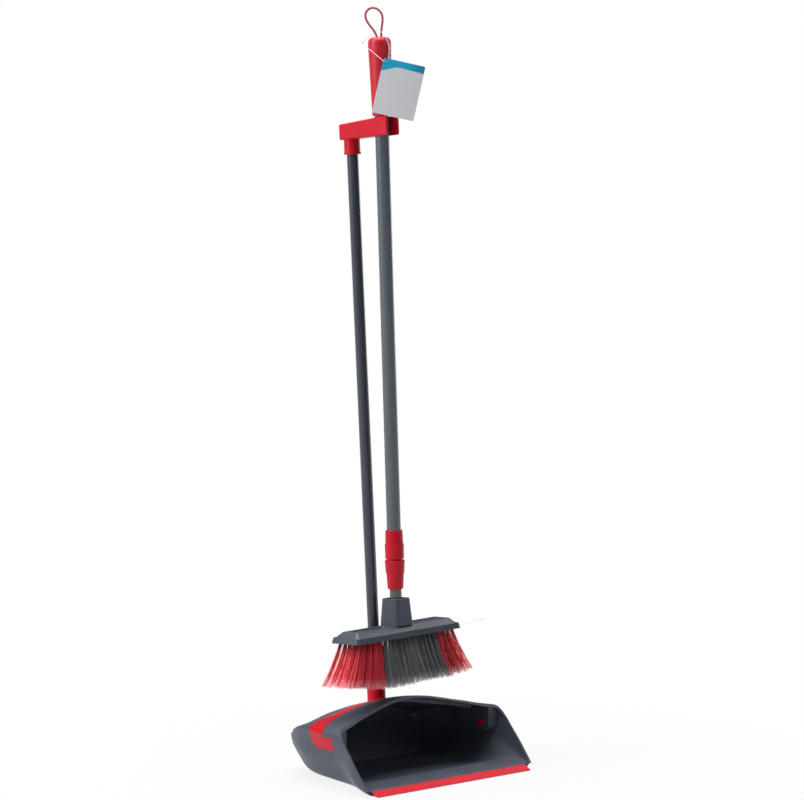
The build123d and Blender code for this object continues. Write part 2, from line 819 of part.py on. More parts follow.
def bristle_field(first, last):
    """The bed slice and strands of the tuft columns from first up to last."""
    left_edge = -bed_half_length if first == 0 else (first - tuft_columns / 2) * tuft_pitch
    right_edge = bed_half_length if last == tuft_columns else (last - tuft_columns / 2) * tuft_pitch
    strands = []
    for column in range(first, last):
        for row in range(tuft_rows):
            middle = (column + 0.5 - tuft_columns / 2) * tuft_pitch
            behind = (row + 0.5 - tuft_rows / 2) * row_pitch
            tip = bristle_tip + tip_spread * ((column * 7 + row * 5) % 9) / 8
            for side in (-1, 1):
                for depth in (-1, 1):
                    across = middle + side * strand_spacing / 2
                    back = behind + depth * strand_spacing / 2
                    lean_across = fan(middle) + side * tuft_spread
                    lean_back = behind * (fan_depth - 1) + depth * tuft_spread
                    strands.append(strand(across, back, lean_across, lean_back, tip))
    with BuildPart() as bed:
        with BuildSketch(broom_plane.offset(head_bottom + bed_recess)):
            with Locations(((left_edge + right_edge) / 2, 0)):
                Rectangle(right_edge - left_edge, 2 * bed_half_depth)
        extrude(amount=bed_thickness)
    return bed.part.fuse(*strands, glue=True)


middle_start = left_columns
middle_end = left_columns + middle_columns
left_field = bristle_field(0, middle_start)
middle_field = bristle_field(middle_start, middle_end)
right_field = bristle_field(middle_end, tuft_columns)
with BuildPart() as bristles_left:
    add(left_field)
bristles_left.part.label = "bristles_left"
with BuildPart() as bristles_middle:
    add(middle_field)
bristles_middle.part.label = "bristles_middle"
with BuildPart() as bristles_right:
    add(right_field)
bristles_right.part.label = "bristles_right"

# Swing tag: a plain card with a hole
with BuildPart() as tag_card:
    with BuildSketch(tag_plane):
        RectangleRounded(tag_width, tag_length, tag_corner)
        with Locations((-tag_width / 2 + tag_hole_inset, tag_length / 2 - tag_hole_inset)):
            Circle(tag_hole / 2, mode=Mode.SUBTRACT)
    extrude(amount=tag_thickness / 2, both=True)
tag_card.part.label = "tag_card"

# Tag tie: a clear filament through the tag's hole and the hanging loop
hole_local = (-tag_width / 2 + tag_hole_inset, tag_length / 2 - tag_hole_inset, 0)
hole_point = tag_plane.from_local_coords(hole_local)


def by_view(across, height, out):
    """A point from the grip's top, across and up as seen from outside, and outward."""
    return grip_plane.origin + sideways * across + Vector(0, 0, height) + outward * out


tie_points = [
    hole_point - outward * 5 + sideways * 3,
    hole_point + outward * 1.2,
    hole_point + outward * 1.0 - sideways * 3.2,
    by_view(-14.2, -12.2, 9.0),
    by_view(-19.0, -5.6, 2.0),
    by_view(-8.5, 4.5, -4.0),
    by_view(-1.5, 9.0, -1.0),
    by_view(6.5, 3.5, 8.0),
    by_view(12.0, -12.0, 16.0),
    hole_point - outward * 5 + sideways * 3 + Vector(0, 0, 2),
]
tie_radii = [0.3 * radius for radius in route_radii([tuple(point) for point in tie_points])]
with BuildPart() as tag_tie:
    with BuildLine() as tie_route:
        FilletPolyline(*tie_points, radius=tie_radii)
    with BuildSketch(Plane(origin=tie_route.wires()[0] @ 0, z_dir=tie_route.wires()[0] % 0)):
        Circle(tie_diameter / 2)
    sweep()
tag_tie.part.label = "tag_tie"

os.makedirs("parts", exist_ok=True)
pieces = [
    pan_body, pan_lip, bail, pan_tube, clip_bracket,
    outer_tube, grip, hanging_loop, loop_knot, lock_sleeve, lock_nut,
    inner_tube, inner_bush, thread_plug, broom_head,
    bristles_left, bristles_middle, bristles_right,
    tag_card, tag_tie,
]
for piece in pieces:
    export_step(piece.part, f"parts/{piece.part.label}.step")
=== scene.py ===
import math

import bmesh
import bpy
import numpy as np
from mathutils import Matrix, Vector
from mathutils.bvhtree import BVHTree


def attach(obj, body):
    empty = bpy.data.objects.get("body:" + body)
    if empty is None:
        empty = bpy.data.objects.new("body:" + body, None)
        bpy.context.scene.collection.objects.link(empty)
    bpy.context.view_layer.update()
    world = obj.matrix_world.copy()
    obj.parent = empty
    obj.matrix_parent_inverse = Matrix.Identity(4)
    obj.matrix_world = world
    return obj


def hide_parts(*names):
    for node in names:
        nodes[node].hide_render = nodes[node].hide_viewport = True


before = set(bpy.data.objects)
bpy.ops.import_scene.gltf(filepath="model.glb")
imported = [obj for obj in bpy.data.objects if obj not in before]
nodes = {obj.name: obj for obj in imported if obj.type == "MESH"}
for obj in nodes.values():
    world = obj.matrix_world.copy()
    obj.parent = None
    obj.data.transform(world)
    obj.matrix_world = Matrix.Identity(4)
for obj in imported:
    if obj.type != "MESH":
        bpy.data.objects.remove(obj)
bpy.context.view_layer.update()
MM = 0.001
UP = Vector((0, 0, 1))


# Frames of the handle, the broom and the tag, from the same angles and distances as the solids

def turned(vector, degrees, axis):
    return Matrix.Rotation(math.radians(degrees), 3, axis) @ vector


RIGHT = Vector((1, 0, 0))
HANDLE_LEAN = -3.92
BROOM_TURN = 8.19
BROOM_LEAN = 1.11
HANDLE_FOOT = Vector((0, 0.046, 0.080))
CLIP_HEIGHT = 691.7
CLIP_REACH = 49.75
GRIP_TOP = 109.105
TAG_TURN = -40
TAG_TILT = -12.6
TAG_RIGHT = 22.9
TAG_OUT = 24.0
TAG_DROP = 62.2
handle_up = turned(UP, HANDLE_LEAN, RIGHT)
broom_across = turned(RIGHT, BROOM_TURN, handle_up)
broom_up = turned(handle_up, BROOM_LEAN, broom_across)
broom_back = broom_up.cross(broom_across)
clip_forward = -handle_up.cross(broom_across)
clip_point = HANDLE_FOOT + handle_up * CLIP_HEIGHT * MM
broom_point = clip_point + clip_forward * CLIP_REACH * MM
grip_point = broom_point + broom_up * GRIP_TOP * MM
outward = turned(Vector((0, -1, 0)), TAG_TURN, UP)
sideways = turned(RIGHT, TAG_TURN, UP)
loop_across = (sideways - broom_up * sideways.dot(broom_up)).normalized()
tag_across = turned(sideways, TAG_TILT, outward)
tag_up = outward.cross(tag_across)
tag_point = grip_point + (sideways * TAG_RIGHT + outward * TAG_OUT - UP * TAG_DROP) * MM


def on_broom(across, back, height):
    """A point in the broom's frame, in millimetres."""
    return broom_point + (broom_across * across + broom_back * back + broom_up * height) * MM


def on_tag(across, up, out):
    """A point in the tag's frame, in millimetres from its middle."""
    return tag_point + (tag_across * across + tag_up * up + outward * out) * MM


# Camera, at the photograph's viewing angle

YAW = math.radians(39.99)
PITCH = math.radians(5.5)
PIXELS = 804.0
FOCAL = 3333.33
SENSOR = 36.0
SHIFT_RIGHT = 22.23
SHIFT_UP = -3.74
DISTANCE = 4.0
AIM = Vector((0, 0.040, 0.83705))
ahead = Vector((math.sin(YAW), math.cos(YAW), 0))
look = ahead * math.cos(PITCH) - UP * math.sin(PITCH)
look_up = ahead * math.sin(PITCH) + UP * math.cos(PITCH)
look_right = Vector((math.cos(YAW), -math.sin(YAW), 0))
camera_data = bpy.data.cameras.new("photo_camera")
camera_data.sensor_width = SENSOR
camera_data.lens = FOCAL / PIXELS * SENSOR
camera_data.shift_x = SHIFT_RIGHT / PIXELS
camera_data.shift_y = SHIFT_UP / PIXELS
camera_data.clip_end = 100.0
camera = bpy.data.objects.new("photo_camera", camera_data)
bpy.context.scene.collection.objects.link(camera)
turn = Matrix((look_right, look_up, -look)).transposed().to_4x4()
camera.matrix_world = Matrix.Translation(AIM - ahead * DISTANCE) @ turn
bpy.context.scene.camera = camera
bpy.context.scene.view_settings.view_transform = "Standard"


# Materials

def linear(red, green, blue):
    """A linear colour from one written as 0 to 255."""

    def share(level):
        if level > 10:
            return ((level / 255 + 0.055) / 1.055) ** 2.4
        return level / 255 / 12.92

    return (share(red), share(green), share(blue), 1.0)


def scaled(colour, factor):
    """A colour made darker or lighter by a factor."""
    return tuple(min(c * factor, 1.0) for c in colour[:3]) + (1.0,)


class Shader:
    """A material's node tree with short calls for what the materials here share."""

    def __init__(self, name):
        self.material = bpy.data.materials.new(name)
        self.material.use_nodes = True
        self.tree = self.material.node_tree
        self.bsdf = self.tree.nodes["Principled BSDF"]

    def node(self, kind, **values):
        made = self.tree.nodes.new(kind)
        for key, value in values.items():
            setattr(made, key, value)
        return made

    def link(self, source, target):
        self.tree.links.new(source, target)

    def place(self, scale=(1, 1, 1)):
        """Object coordinates, stretched."""
        coordinates = self.node("ShaderNodeTexCoord")
        mapping = self.node("ShaderNodeMapping")
        mapping.inputs["Scale"].default_value = scale
        self.link(coordinates.outputs["Object"], mapping.inputs["Vector"])
        return mapping.outputs["Vector"]

    def noise(self, vector, scale, detail=2.0, roughness=0.5):
        made = self.node("ShaderNodeTexNoise")
        made.inputs["Scale"].default_value = scale
        made.inputs["Detail"].default_value = detail
        made.inputs["Roughness"].default_value = roughness
        self.link(vector, made.inputs["Vector"])
        return made.outputs["Fac"]

    def ramp(self, factor, stops):
        made = self.node("ShaderNodeValToRGB")
        elements = made.color_ramp.elements
        while len(elements) < len(stops):
            elements.new(0.5)
        for element, (position, colour) in zip(elements, stops):
            element.position = position
            element.color = colour
        self.link(factor, made.inputs["Fac"])
        return made.outputs["Color"]

    def combined(self, operation, first, second):
        """Two values put through one sum."""
        made = self.node("ShaderNodeMath", operation=operation)
        self.link(first, made.inputs[0])
        self.link(second, made.inputs[1])
        return made.outputs["Value"]

    def spread(self, factor, low, high, start=0.3, end=0.7):
        made = self.node("ShaderNodeMapRange")
        for key, value in (("From Min", start), ("From Max", end), ("To Min", low), ("To Max", high)):
            made.inputs[key].default_value = value
        self.link(factor, made.inputs["Value"])
        return made.outputs["Result"]

    def bump(self, height, strength, distance, below=None):
        made = self.node("ShaderNodeBump")
        made.inputs["Strength"].default_value = strength
        made.inputs["Distance"].default_value = distance
        self.link(height, made.inputs["Height"])
        if below:
            self.link(below, made.inputs["Normal"])
        self.link(made.outputs["Normal"], self.bsdf.inputs["Normal"])
        return made.outputs["Normal"]


def moulded(name, colour, roughness, grain, grain_depth, mottle=0.08, specular=0.5):
    """Moulded plastic or rubber: slightly uneven colour and gloss over a fine grain."""
    shader = Shader(name)
    place = shader.place()
    broad = shader.noise(place, 22.0, 3.0)
    fine = shader.noise(place, grain, 2.0, 0.6)
    shader.link(
        shader.ramp(broad, [(0.3, scaled(colour, 1 - mottle)), (0.7, scaled(colour, 1 + mottle))]),
        shader.bsdf.inputs["Base Color"],
    )
    shader.link(shader.spread(broad, roughness - 0.05, roughness + 0.05), shader.bsdf.inputs["Roughness"])
    sag = shader.bump(broad, 0.25, 0.0006)
    shader.bump(fine, 0.5, grain_depth, sag)
    shader.bsdf.inputs["Specular IOR Level"].default_value = specular
    return shader.material


def coated(name, colour, roughness):
    """Powder-coated steel tube: an even coat with a faint orange peel and long drawing streaks."""
    shader = Shader(name)
    along = shader.noise(shader.place((1, 1, 0.02)), 700.0, 2.0)
    peel = shader.noise(shader.place(), 900.0, 2.0)
    shader.link(
        shader.ramp(along, [(0.3, scaled(colour, 0.93)), (0.7, scaled(colour, 1.07))]),
        shader.bsdf.inputs["Base Color"],
    )
    shader.link(shader.spread(along, roughness - 0.04, roughness + 0.04), shader.bsdf.inputs["Roughness"])
    shader.bump(peel, 0.25, 0.00006)
    shader.bsdf.inputs["Metallic"].default_value = 0.15
    shader.bsdf.inputs["Coat Weight"].default_value = 0.5
    shader.bsdf.inputs["Coat Roughness"].default_value = 0.15
    return shader.material


def bristled(name, root, body, tip):
    """Plastic filament: painted shade dark at the root, a painted sheen pale at the tip, painted shade on
    the inner tufts through the shade attribute, and each strand a little different.
    """
    shader = Shader(name)
    along = shader.node("ShaderNodeAttribute", attribute_name="along")
    shade = shader.node("ShaderNodeAttribute", attribute_name="shade")
    mix = shader.node("ShaderNodeMix", data_type="RGBA", blend_type="MULTIPLY")
    mix.inputs["Factor"].default_value = 1.0
    # The along ramp paints shade near the root and a painted sheen at the tip.
    shader.link(
        shader.ramp(along.outputs["Fac"], [(0.0, root), (0.35, body), (0.8, body), (1.0, tip)]),
        mix.inputs["A"],
    )
    # The shade attribute scales the colour: painted shade on the inner tufts and the bed, and random tone
    # from strand to strand.
    shader.link(
        shader.ramp(shade.outputs["Fac"], [(0.0, (0.3, 0.3, 0.3, 1)), (1.0, (1.5, 1.5, 1.5, 1))]),
        mix.inputs["B"],
    )
    shader.link(mix.outputs["Result"], shader.bsdf.inputs["Base Color"])
    shader.link(shader.spread(shade.outputs["Fac"], 0.3, 0.5, 0, 1), shader.bsdf.inputs["Roughness"])
    shader.bsdf.inputs["Sheen Weight"].default_value = 0.15
    return shader.material


pan_material = moulded("pan_plastic", linear(71, 77, 89), 0.5, 2600.0, 0.00005)
head_material = moulded("head_plastic", linear(64, 71, 82), 0.42, 2600.0, 0.00004)
lip_material = moulded("lip_rubber", linear(212, 24, 46), 0.55, 1800.0, 0.00004, mottle=0.05, specular=0.25)
red_material = moulded("red_plastic", linear(196, 8, 36), 0.36, 2200.0, 0.00004, mottle=0.05, specular=0.28)
grip_material = moulded("red_grip", linear(192, 22, 44), 0.42, 1200.0, 0.00012, specular=0.4)
black_material = moulded("black_plastic", linear(40, 41, 44), 0.5, 2000.0, 0.00004)
dark_tube_material = coated("dark_tube", linear(52, 57, 70), 0.3)
grey_tube_material = coated("grey_tube", linear(82, 90, 96), 0.33)
# The root colours below are painted shade near the bed; the tip colours are a painted sheen.
red_bristle = bristled("red_bristle", linear(150, 12, 26), linear(228, 62, 78), linear(248, 158, 164))
grey_bristle = bristled("grey_bristle", linear(18, 19, 21), linear(122, 124, 128), linear(190, 190, 192))


def clear_plastic():
    """Half-clear plastic of the tag's tie and of the loose filament."""
    shader = Shader("clear_plastic")
    shade = shader.noise(shader.place(), 400.0)
    shader.link(
        shader.ramp(shade, [(0.3, (0.85, 0.87, 0.88, 1)), (0.7, (0.97, 0.97, 0.98, 1))]),
        shader.bsdf.inputs["Base Color"],
    )
    shader.bsdf.inputs["Roughness"].default_value = 0.18
    shader.bsdf.inputs["Transmission Weight"].default_value = 0.5
    return shader.material


def cord_material():
    """Twisted yarn: fine fibres round each strand."""
    shader = Shader("cord_red")
    fibre = shader.noise(shader.place(), 1800.0, 3.0, 0.7)
    shader.link(
        shader.ramp(fibre, [(0.3, linear(140, 38, 54)), (0.7, linear(206, 84, 98))]),
        shader.bsdf.inputs["Base Color"],
    )
    shader.bsdf.inputs["Roughness"].default_value = 0.8
    shader.bsdf.inputs["Sheen Weight"].default_value = 0.3
    shader.bump(fibre, 0.6, 0.00015)
    return shader.material


def card_material():
    """Coated card: a pale body and a plain blue band whose lower edge is cut on a slant."""
    shader = Shader("tag_card")
    place = shader.node("ShaderNodeUVMap", uv_map="card")
    split = shader.node("ShaderNodeSeparateXYZ")
    shader.link(place.outputs["UV"], split.inputs["Vector"])
    edge = shader.node("ShaderNodeFloatCurve")
    curve = edge.mapping.curves[0]
    for position, value in ((0.12, 0.80), (0.32, 0.87), (0.6, 0.875)):
        curve.points.new(position, value)
    curve.points[0].location = (0.0, 0.765)
    curve.points[-1].location = (1.0, 0.865)
    edge.mapping.update()
    shader.link(split.outputs["X"], edge.inputs["Value"])
    above = shader.combined("SUBTRACT", split.outputs["Y"], edge.outputs["Value"])
    band = shader.spread(above, 0.0, 1.0, -0.006, 0.006)
    grain = shader.noise(shader.place(), 1400.0, 3.0)
    paper = shader.ramp(grain, [(0.3, linear(205, 206, 210)), (0.7, linear(218, 219, 222))])
    blues = [(0.0, linear(0, 158, 204)), (0.5, linear(10, 168, 210)), (1.0, linear(20, 128, 168))]
    blue = shader.ramp(split.outputs["X"], blues)
    mix = shader.node("ShaderNodeMix", data_type="RGBA")
    shader.link(band, mix.inputs["Factor"])
    shader.link(paper, mix.inputs["A"])
    shader.link(blue, mix.inputs["B"])
    shader.link(mix.outputs["Result"], shader.bsdf.inputs["Base Color"])
    shader.bsdf.inputs["Roughness"].default_value = 0.45
    shader.bump(grain, 0.2, 0.00003)
    return shader.material


clear_material = clear_plastic()
yarn_material = cord_material()
printed_card = card_material()

NODE_MATERIALS = {
    "pan_body": pan_material,
    "pan_lip": lip_material,
    "bail": red_material,
    "clip_bracket": red_material,
    "lock_sleeve": red_material,
    "lock_nut": red_material,
    "grip": grip_material,
    "pan_tube": dark_tube_material,
    "outer_tube": grey_tube_material,
    "inner_tube": grey_tube_material,
    "inner_bush": black_material,
    "thread_plug": black_material,
    "broom_head": head_material,
    "bristles_left": red_bristle,
    "bristles_middle": grey_bristle,
    "bristles_right": red_bristle,
    "hanging_loop": yarn_material,
    "loop_knot": yarn_material,
    "tag_card": printed_card,
    "tag_tie": clear_material,
}
for name, material in NODE_MATERIALS.items():
    nodes[name].data.materials.clear()
    nodes[name].data.materials.append(material)


# Mesh helpers

def mesh_object(name, vertices, faces, material, smooth=True):
    mesh = bpy.data.meshes.new(name)
    mesh.from_pydata([tuple(v) for v in vertices], [], faces)
    mesh.materials.append(material)
    mesh.update()
    if smooth:
        mesh.polygons.foreach_set("use_smooth", [True] * len(mesh.polygons))
    made = bpy.data.objects.new(name, mesh)
    bpy.context.scene.collection.objects.link(made)
    return made


def tube_rings(points, radii, sides):
    """Vertices and faces of a closed tube along points, one radius for each, and the line's normals."""
    points = np.asarray(points, float)
    count = len(points)
    run = np.gradient(points, axis=0)
    run /= np.linalg.norm(run, axis=1)[:, None]
    first = np.cross(run[0], (0.31, 0.74, 0.59))
    normals = [first / np.linalg.norm(first)]
    for tangent in run[1:]:
        carried = normals[-1] - tangent * (normals[-1] @ tangent)
        normals.append(carried / np.linalg.norm(carried))
    normals = np.array(normals)
    binormals = np.cross(run, normals)
    angles = np.arange(sides) * 2 * math.pi / sides
    circles = (
        np.cos(angles)[None, :, None] * normals[:, None, :]
        + np.sin(angles)[None, :, None] * binormals[:, None, :]
    )
    rings = (points[:, None, :] + np.asarray(radii, float)[:, None, None] * circles).reshape(-1, 3)
    faces = [
        (i * sides + j, i * sides + (j + 1) % sides, (i + 1) * sides + (j + 1) % sides, (i + 1) * sides + j)
        for i in range(count - 1)
        for j in range(sides)
    ]
    faces.append(tuple(range(sides))[::-1])
    faces.append(tuple(range((count - 1) * sides, count * sides)))
    return rings, faces, normals, binormals


# Pan shell and bail: the solids' own forms, drawn to the photograph's outline

ORIGIN_DEPTH = 100.0
LIP_HALF_WIDTH = 121.0
FLOOR_NARROWING = 27.0
PAN_DEPTH = 196.0
WIDEST_HALF = 131.0
WAIST = 34.0

# What the photograph shows: the sole's half width by depth, the mouth's, and the wall's rise to it
SOLE_DEPTHS = (0, 10, 25, 50, 70, 90, 112, 139, 170, 196)
SOLE_HALVES = (122, 121.5, 118, 110, 105, 101.5, 98, 93.5, 86, 80)
MOUTH_HALF = 130.3
LIP_RISE = 7
RISE_GAIN = 27
WALL_CURVE = 0.75

# Changes of the rear and of the roof
REAR_TAPER = 0.04
CORNER_TAPER = 0.05
WAIST_LIFT = 9
SIDE_FALL = 5.2
CORNER_FALL = 7.0

SHARP_ANGLE = math.radians(34)
LONGEST_CUT_EDGE = 0.008
LONGEST_EDGE = 0.006


def eased(value, start, end):
    """0 up to start, 1 from end on, and a smooth rise between."""
    share = np.clip((value - start) / (end - start), 0.0, 1.0)
    return share * share * (3 - 2 * share)


def drawn_to_outline(points):
    """Points of the pan, in metres, moved to where the photograph's outline puts them."""
    x = points[:, 0] / MM
    depth = points[:, 1] / MM + ORIGIN_DEPTH
    z = points[:, 2] / MM
    floor_half = LIP_HALF_WIDTH - FLOOR_NARROWING * (np.clip(depth, 0, PAN_DEPTH) / PAN_DEPTH) ** 1.15
    solid_half = floor_half + (WIDEST_HALF - floor_half) * 0.5 * np.clip(z / WAIST, 0, 2)

    # The sole draws in behind the lip while the side wall stands wide straight from the lip's end
    sole_half = np.interp(depth, SOLE_DEPTHS, SOLE_HALVES)
    rise = LIP_RISE + RISE_GAIN * eased(depth, 6, 75)
    front_half = sole_half + (MOUTH_HALF - sole_half) * np.clip(z / rise, 0, 1) ** WALL_CURVE
    rear_half = solid_half + (sole_half - floor_half) * (1 - np.clip(z / WAIST, 0, 1))
    wanted_half = front_half + (rear_half - front_half) * eased(depth, 25, 80)
    top = WAIST + 22 * (1 - eased(depth, 40, 90))
    low = 1 - eased(z, top, top + 16)
    x = x * (1 + (wanted_half / solid_half - 1) * low)

    # The rear is drawn in, its upper corners more, and the waist stands higher there
    taper = REAR_TAPER * eased(depth, 145, 196)
    corner_taper = CORNER_TAPER * eased(depth, 172, 198) * eased(z, 40, 62)
    x = x * (1 - taper - corner_taper)
    raised = np.interp(z, (0, WAIST, 60, 200), (0, WAIST + WAIST_LIFT, 62, 200))
    z = z + (raised - z) * eased(depth, 145, 178)

    # The roof falls away from its middle, less at the sides of the mouth and more at the rear corners
    beside = np.abs(x)
    behind = eased(depth, 62, 95)
    fall = SIDE_FALL * eased(beside, 5, 75) * (1 - (1 - 0.75 * behind) * eased(beside, 96, 132))
    fall = fall + CORNER_FALL * eased(depth, 140, 193) * eased(beside, 40, 105)
    z = z - fall * eased(z, 42, 62)
    return np.stack([x, depth - ORIGIN_DEPTH, z], axis=1) * MM


def welded(mesh, longest):
    """The mesh's surface with its split edges joined and its long edges divided."""
    work = bmesh.new()
    work.from_mesh(mesh)
    bmesh.ops.remove_doubles(work, verts=work.verts, dist=1e-6)
    for _ in range(2):
        edges = [e for e in work.edges if e.calc_length() > longest]
        bmesh.ops.subdivide_edges(work, edges=edges, cuts=1)
        bmesh.ops.triangulate(work, faces=[f for f in work.faces if len(f.verts) > 3])
    return work


def redrawn(name, node, material, cutter=None):
    """A new piece with a node's form, trimmed by a cutter and drawn to the photograph's outline."""
    made = bpy.data.objects.new(name, bpy.data.meshes.new(name))
    bpy.context.scene.collection.objects.link(made)
    work = welded(nodes[node].data, LONGEST_CUT_EDGE)
    work.to_mesh(made.data)
    work.free()
    if cutter:
        trim = made.modifiers.new("trim", "BOOLEAN")
        trim.operation = "DIFFERENCE"
        trim.solver = "EXACT"
        trim.object = cutter
        shape = bpy.data.meshes.new_from_object(made.evaluated_get(bpy.context.evaluated_depsgraph_get()))
        made.modifiers.clear()
        made.data = shape
    work = welded(made.data, LONGEST_EDGE)
    clean = bpy.data.meshes.new(name)
    points = drawn_to_outline(np.array([v.co for v in work.verts]))
    work.verts.index_update()
    clean.from_pydata([tuple(p) for p in points], [], [[v.index for v in f.verts] for f in work.faces])
    work.free()
    clean.materials.append(material)
    clean.update()
    clean.polygons.foreach_set("use_smooth", [True] * len(clean.polygons))
    clean.set_sharp_from_angle(angle=SHARP_ANGLE)
    made.data = clean
    return made


# The cutter's outline seen from the side, as depth and height; its slope is the mouth's plane
CUTTER_OUTLINE = [(-20, -5), (11, -5), (11, 6.05), (8.4, 6.7), (108.7, 120), (-20, 120)]
CUTTER_HALF = 200


def mouth_cutter():
    """All that is before the mouth's plane, and what the lip strip covers up to 11 mm from its edge."""
    count = len(CUTTER_OUTLINE)
    ends = (-CUTTER_HALF, CUTTER_HALF)
    vertices = [Vector((x, d - ORIGIN_DEPTH, z)) * MM for x in ends for d, z in CUTTER_OUTLINE]
    faces = [tuple(range(count)), tuple(range(2 * count - 1, count - 1, -1))]
    faces += [(i, i + count, (i + 1) % count + count, (i + 1) % count) for i in range(count)]
    made = mesh_object("mouth_cutter", vertices, faces, pan_material, smooth=False)
    work = bmesh.new()
    work.from_mesh(made.data)
    bmesh.ops.recalc_face_normals(work, faces=work.faces)
    work.to_mesh(made.data)
    work.free()
    return made


cutter = mouth_cutter()
pan_shell = redrawn("pan_shell", "pan_body", pan_material, cutter)
bpy.data.objects.remove(cutter)
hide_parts("pan_body")
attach(pan_shell, "dustpan")
strap = redrawn("bail_strap", "bail", red_material)
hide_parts("bail")
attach(strap, "dustpan")


# Comb under the roof's front rim: its teeth follow the rim's curve, sunk a little into the roof

COMB_TEETH = 17
COMB_START = 14.0
COMB_PITCH = 4.8
COMB_HEIGHT = 4.2
COMB_DEPTH = 90.5
COMB_CURVE = 0.0009
COMB_SUNK = 0.6
BELOW_ROOF = 45
# How far down a tooth's three rings are, and how wide to each side
TOOTH_RINGS = ((0, 0.95), (COMB_HEIGHT - 0.8, 0.7), (COMB_HEIGHT, 0.3))
TOOTH_LENGTHENING = 1.2
SQUARE = ((-1, -1), (1, -1), (1, 1), (-1, 1))


def roof_comb():
    """A row of small teeth under the roof's front rim, which combs the bristles."""
    shell = pan_shell.data
    roof = BVHTree.FromPolygons([v.co for v in shell.vertices], [tuple(p.vertices) for p in shell.polygons])
    vertices = []
    faces = []
    for step in range(COMB_TEETH):
        across = COMB_START + step * COMB_PITCH
        depth = COMB_DEPTH - COMB_CURVE * across ** 2
        hit = roof.ray_cast(Vector((across, depth - ORIGIN_DEPTH, BELOW_ROOF)) * MM, UP)[0]
        if hit is None:
            continue
        top = hit.z / MM + COMB_SUNK
        base = len(vertices)
        for drop, half in TOOTH_RINGS:
            for dx, dy in SQUARE:
                along = depth - ORIGIN_DEPTH + dy * half * TOOTH_LENGTHENING
                vertices.append(Vector((across + dx * half, along, top - drop)) * MM)
        for ring in (0, 4):
            for k in range(4):
                a = base + ring + k
                b = base + ring + (k + 1) % 4
                faces.append((a, a + 4, b + 4, b))
        faces.append((base, base + 1, base + 2, base + 3))
        faces.append((base + 11, base + 10, base + 9, base + 8))
    return mesh_object("roof_comb", vertices, faces, pan_material, smooth=False)


comb = roof_comb()
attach(comb, "dustpan")


# Bristles: twenty columns of tufts by five rows in three colour fields, fanned out from the bed

HEAD_BOTTOM = -611.0
BED_RECESS = 3.0
BED_THICKNESS = 3.0
BED_HALF_LENGTH = 89.0
BED_HALF_DEPTH = 19.0
TUFT_COLUMNS = 20
TUFT_ROWS = 5
TUFT_PITCH = (2 * BED_HALF_LENGTH - 4) / TUFT_COLUMNS
ROW_PITCH = (2 * BED_HALF_DEPTH - 2) / TUFT_ROWS
FAN_CENTRE = -46.0
FAN_SLOPE = 0.225
LEFT_FAN_SLOPE = 0.7
FAN_BACK = 0.38
STRANDS = 54
RINGS = 6
SIDES = 3
ROOT_SPREAD = 2.0
TIP_SPREAD = 4.3
TIP_HEIGHT = -662.5
STRAND_RADIUS = 0.19
STRAND_TAPER = 0.06
# Tuft levels of the shade attribute: inner tufts are set darker as painted shade between the rows.
OUTER_SHADE = 0.62
INNER_PAINTED_SHADE = 0.1
# How much further down the tips hang, by their place across the bed
REACH_PLACES = (-87, -70, -60, -45, -35, -10, 15, 30, 50, 75, 87)
REACHES = (-1, 2, 4.5, 7.5, 8, 8, 6, 6.5, 7, 4, 1)
BED = HEAD_BOTTOM + BED_RECESS
# The bed slice is darkened as painted shade under the head.
BED_PAINTED_SHADE = 0.2
BED_FACES = [(3, 2, 1, 0), (4, 5, 6, 7), (0, 1, 5, 4), (1, 2, 6, 5), (2, 3, 7, 6), (3, 0, 4, 7)]
broom_basis = np.array([broom_across, broom_back, broom_up]) * MM
broom_origin = np.array(broom_point)
ring_steps = np.linspace(0, 1, RINGS)
ring_angles = np.arange(SIDES) * 2 * math.pi / SIDES


def bed_slice(first, last):
    """The corners of the slice of bed that a field's columns stand on."""
    left = -BED_HALF_LENGTH if first == 0 else (first - TUFT_COLUMNS / 2) * TUFT_PITCH
    right = BED_HALF_LENGTH if last == TUFT_COLUMNS else (last - TUFT_COLUMNS / 2) * TUFT_PITCH
    front = -BED_HALF_DEPTH
    back = BED_HALF_DEPTH
    outline = ((left, front), (right, front), (right, back), (left, back))
    return np.array([(x, y, z) for z in (BED, BED + BED_THICKNESS) for x, y in outline])


def strand_points(chance, foot, lean, tuft_bend, reach):
    """The rings of one strand, from its root in the bed to its tip."""
    angle = chance.random() * 2 * math.pi
    radius = math.sqrt(chance.random())
    out = np.array([math.cos(angle), math.sin(angle)]) * radius
    root = foot + out * ROOT_SPREAD
    tip = foot + lean + tuft_bend + out * TIP_SPREAD + chance.normal(0, 0.7, 2)
    length = TIP_HEIGHT - reach + 2.4 * chance.random() ** 2 + 1.6 * abs(out[0]) - BED
    bow = chance.normal(0, 0.6, 2) - lean * 0.04
    share = ring_steps[:, None]
    line = root + (tip - root) * (0.8 * share + 0.2 * share ** 2) + bow * 4 * share * (1 - share)
    height = BED + 0.3 + (length - 0.3) * ring_steps
    width = STRAND_RADIUS - STRAND_TAPER * ring_steps ** 2
    spin = angle + ring_angles
    rings = np.empty((RINGS, SIDES, 3))
    rings[:, :, 0] = line[:, 0:1] + width[:, None] * np.cos(spin)
    rings[:, :, 1] = line[:, 1:2] + width[:, None] * np.sin(spin)
    rings[:, :, 2] = height[:, None]
    return rings.reshape(-1, 3)


def strand_faces(start):
    """The faces of the strand whose first vertex has the number start."""
    made = []
    for i in range(RINGS - 1):
        for j in range(SIDES):
            a = start + i * SIDES + j
            b = start + i * SIDES + (j + 1) % SIDES
            made.append((a, a + SIDES, b + SIDES, b))
    end = start + (RINGS - 1) * SIDES
    return made + [(start, start + 1, start + 2), (end + 2, end + 1, end)]


